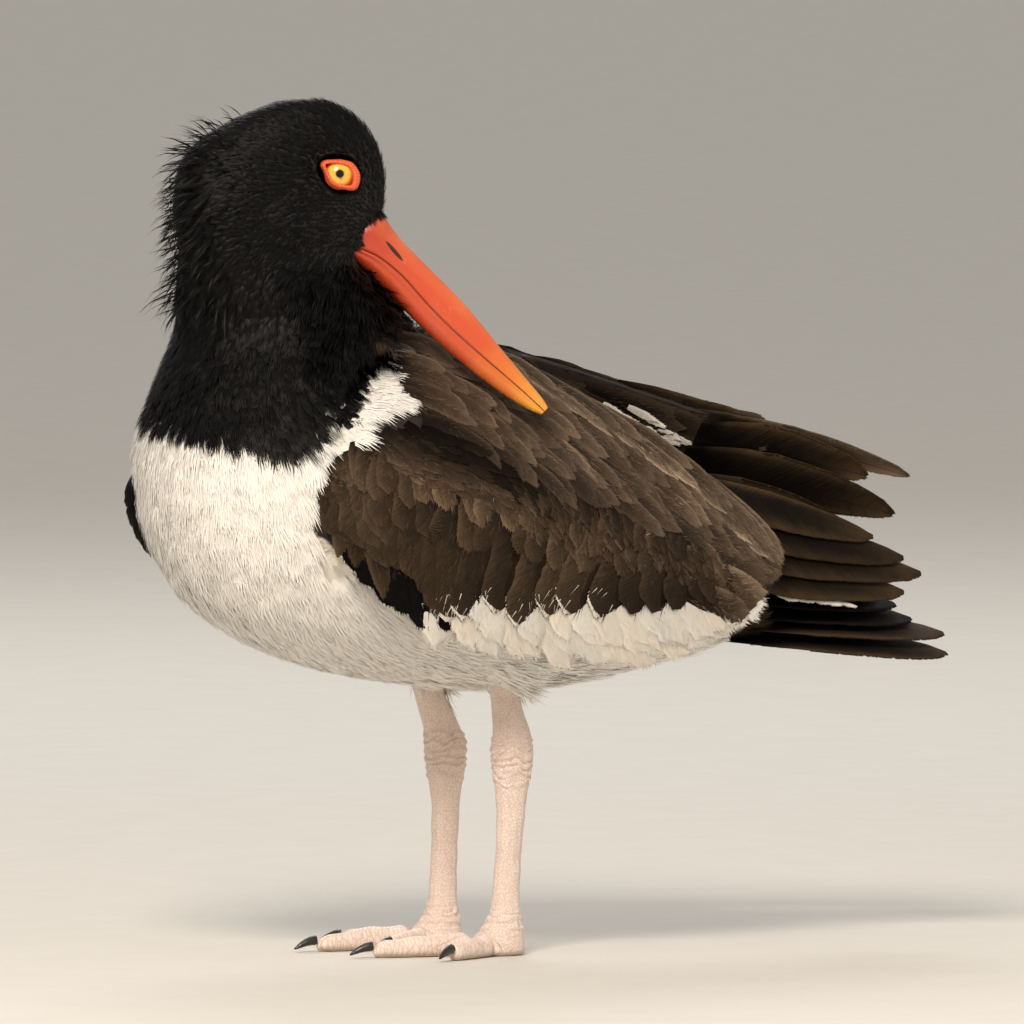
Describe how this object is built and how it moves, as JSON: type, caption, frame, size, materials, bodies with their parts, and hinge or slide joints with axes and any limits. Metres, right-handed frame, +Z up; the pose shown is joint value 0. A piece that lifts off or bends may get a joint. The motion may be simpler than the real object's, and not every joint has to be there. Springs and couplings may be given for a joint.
{
  "type": "oystercatcher",
  "caption": "Life-size standing wading bird, black head turned back over its left shoulder, long orange bill, brown wings loosely folded over a white belly, pale pink legs.",
  "frame": {"origin": "middle of the whole bird's box in plan, at floor level, under the trunk just behind the breast", "axes": "+X towards the tail, -X the way the breast faces, +Y the bird's right side, -Y its left side, +Z up"},
  "size_m": [0.3022, 0.1216, 0.2912],
  "materials": {
    "black_feathers": "soft black contour feathers",
    "white_feathers": "soft white contour feathers",
    "brown_feathers": "dark brown wing feathers with paler edges",
    "wing_bar_feathers": "white wing bar under brown coverts",
    "bill_horn": "satin orange-red horn, yellower at the tip",
    "orange_lid": "bare ridged orange skin",
    "yellow_eye": "wet yellow iris with a black pupil",
    "scaly_leg": "dry scaly skin, pale pink to cream",
    "claw_horn": "dark horn"
  },
  "bodies": {
    "root": {"ankle_left": "scaly_leg", "ankle_right": "scaly_leg", "bill_lower": "bill_horn", "bill_upper": "bill_horn", "claw_inner_left": "claw_horn", "claw_inner_right": "claw_horn", "claw_middle_left": "claw_horn", "claw_middle_right": "claw_horn", "claw_outer_left": "claw_horn", "claw_outer_right": "claw_horn", "coverts_left": "brown_feathers", "coverts_right": "brown_feathers", "eye_left": "yellow_eye", "eye_right": "yellow_eye", "eye_ring_left": "orange_lid", "eye_ring_right": "orange_lid", "foot_left": "scaly_leg", "foot_right": "scaly_leg", "head": "black_feathers", "neck": "black_feathers", "primary_1_left": "brown_feathers", "primary_1_right": "brown_feathers", "primary_2_left": "brown_feathers", "primary_2_right": "brown_feathers", "primary_3_left": "brown_feathers", "primary_3_right": "brown_feathers", "primary_4_left": "brown_feathers", "primary_4_right": "brown_feathers", "scapulars_left": "brown_feathers", "scapulars_right": "brown_feathers", "secondaries_left": "wing_bar_feathers", "secondaries_right": "wing_bar_feathers", "tail_1_left": "black_feathers", "tail_1_right": "black_feathers", "tail_2_left": "black_feathers", "tail_2_right": "black_feathers", "tail_3_left": "black_feathers", "tail_3_right": "black_feathers", "tarsus_left": "scaly_leg", "tarsus_right": "scaly_leg", "tertials_left": "brown_feathers", "tertials_right": "brown_feathers", "tibia_left": "scaly_leg", "tibia_right": "scaly_leg", "toe_inner_left": "scaly_leg", "toe_inner_right": "scaly_leg", "toe_middle_left": "scaly_leg", "toe_middle_right": "scaly_leg", "toe_outer_left": "scaly_leg", "toe_outer_right": "scaly_leg", "trunk": "white_feathers"}
  },
  "joints": []
}
